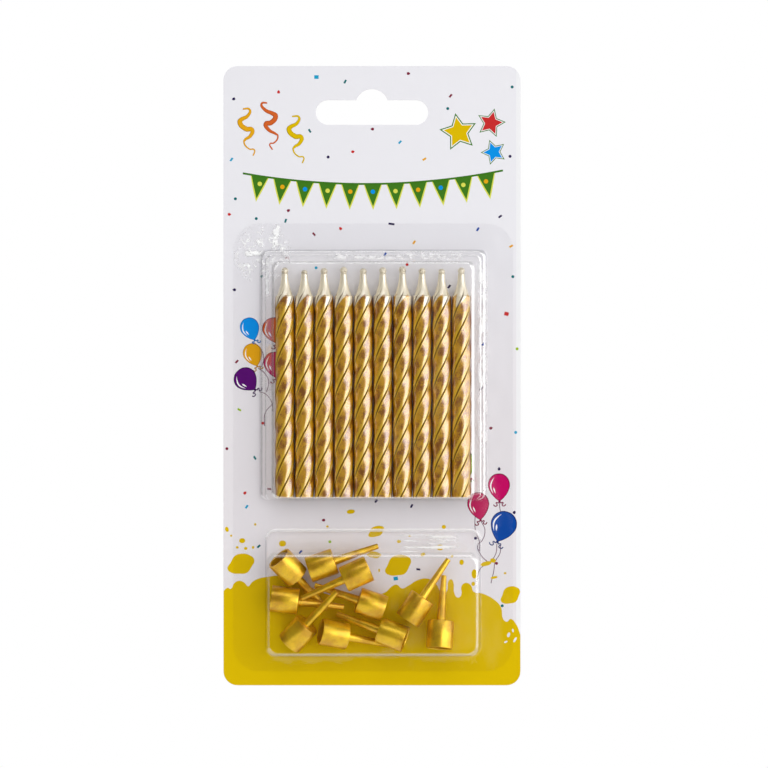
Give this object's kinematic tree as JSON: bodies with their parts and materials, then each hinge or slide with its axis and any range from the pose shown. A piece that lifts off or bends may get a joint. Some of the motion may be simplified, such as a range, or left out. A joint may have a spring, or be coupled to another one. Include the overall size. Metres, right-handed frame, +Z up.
{
  "type": "carded pack of spiral birthday candles",
  "caption": "Hanging card with a clear blister: a row of twisted gold birthday candles above a pocket of loose gold spiked candle holders.",
  "frame": {"origin": "middle of the hanging slot, on the card's printed face", "axes": "+Z up along the card's height, +X to the right across the printed face, -Y out of the printed face towards the viewer"},
  "size_m": [0.084, 0.0116, 0.175],
  "materials": {
    "card": "printed, semi-gloss",
    "clear_sheet": "clear thermoformed sheet",
    "wax": "pearl gold wax",
    "wick": "cotton wick, its free end coated with pale gold wax",
    "holder_plastic": "satin metallic gold"
  },
  "bodies": {
    "card": {"backing_card": "card"},
    "cover": {"blister": "clear_sheet"},
    "candle_01": {"candle_01": "wax", "wick_01": "wick"},
    "candle_02": {"candle_02": "wax", "wick_02": "wick"},
    "candle_03": {"candle_03": "wax", "wick_03": "wick"},
    "candle_04": {"candle_04": "wax", "wick_04": "wick"},
    "candle_05": {"candle_05": "wax", "wick_05": "wick"},
    "candle_06": {"candle_06": "wax", "wick_06": "wick"},
    "candle_07": {"candle_07": "wax", "wick_07": "wick"},
    "candle_08": {"candle_08": "wax", "wick_08": "wick"},
    "candle_09": {"candle_09": "wax", "wick_09": "wick"},
    "candle_10": {"candle_10": "wax", "wick_10": "wick"},
    "holder_01": {"holder_01": "holder_plastic"},
    "holder_02": {"holder_02": "holder_plastic"},
    "holder_03": {"holder_03": "holder_plastic"},
    "holder_04": {"holder_04": "holder_plastic"},
    "holder_05": {"holder_05": "holder_plastic"},
    "holder_06": {"holder_06": "holder_plastic"},
    "holder_07": {"holder_07": "holder_plastic"},
    "holder_08": {"holder_08": "holder_plastic"},
    "holder_09": {"holder_09": "holder_plastic"},
    "holder_10": {"holder_10": "holder_plastic"}
  },
  "joints": [
    {"name": "blister_peel", "type": "hinge", "parent": "card", "child": "cover", "pos_m": [0.0003, -0.0003, -0.0314], "axis": [-1, 0, 0], "range_deg": [0, 120]},
    {"name": "candle_01_slide", "type": "slide", "parent": "card", "child": "candle_01", "axis": [0, 0, 1], "range_m": [0, 0.002]},
    {"name": "candle_02_slide", "type": "slide", "parent": "card", "child": "candle_02", "axis": [0, 0, 1], "range_m": [0, 0.002]},
    {"name": "candle_03_slide", "type": "slide", "parent": "card", "child": "candle_03", "axis": [0, 0, 1], "range_m": [0, 0.002]},
    {"name": "candle_04_slide", "type": "slide", "parent": "card", "child": "candle_04", "axis": [0, 0, 1], "range_m": [0, 0.002]},
    {"name": "candle_05_slide", "type": "slide", "parent": "card", "child": "candle_05", "axis": [0, 0, 1], "range_m": [0, 0.002]},
    {"name": "candle_06_slide", "type": "slide", "parent": "card", "child": "candle_06", "axis": [0, 0, 1], "range_m": [0, 0.002]},
    {"name": "candle_07_slide", "type": "slide", "parent": "card", "child": "candle_07", "axis": [0, 0, 1], "range_m": [0, 0.002]},
    {"name": "candle_08_slide", "type": "slide", "parent": "card", "child": "candle_08", "axis": [0, 0, 1], "range_m": [0, 0.002]},
    {"name": "candle_09_slide", "type": "slide", "parent": "card", "child": "candle_09", "axis": [0, 0, 1], "range_m": [0, 0.002]},
    {"name": "candle_10_slide", "type": "slide", "parent": "card", "child": "candle_10", "axis": [0, 0, 1], "range_m": [0, 0.002]},
    {"name": "holder_01_shift", "type": "slide", "parent": "card", "child": "holder_01", "axis": [0, 0, 1], "range_m": [0, 0.0004]},
    {"name": "holder_02_shift", "type": "slide", "parent": "card", "child": "holder_02", "axis": [0, 0, 1], "range_m": [0, 0.0005]},
    {"name": "holder_03_shift", "type": "slide", "parent": "card", "child": "holder_03", "axis": [0.9135, 0, 0.4067], "range_m": [0, 0.002]},
    {"name": "holder_04_shift", "type": "slide", "parent": "card", "child": "holder_04", "axis": [0, -1, 0], "range_m": [0, 0.0006]},
    {"name": "holder_05_shift", "type": "slide", "parent": "card", "child": "holder_05", "axis": [-0.9442, -0.0523, 0.3251], "range_m": [0, 0.0002]},
    {"name": "holder_06_shift", "type": "slide", "parent": "card", "child": "holder_06", "axis": [0.6493, -0.2419, 0.7211], "range_m": [0, 0.001]},
    {"name": "holder_07_shift", "type": "slide", "parent": "card", "child": "holder_07", "axis": [-0.955, -0.2164, 0.203], "range_m": [0, 0.0004]},
    {"name": "holder_08_shift", "type": "slide", "parent": "card", "child": "holder_08", "axis": [0, 0, 1], "range_m": [0, 0.0004]},
    {"name": "holder_09_shift", "type": "slide", "parent": "card", "child": "holder_09", "axis": [0.5589, 0.0349, 0.8285], "range_m": [0, 0.003]},
    {"name": "holder_10_shift", "type": "slide", "parent": "card", "child": "holder_10", "axis": [0, 0, 1], "range_m": [0, 0.0015]}
  ]
}
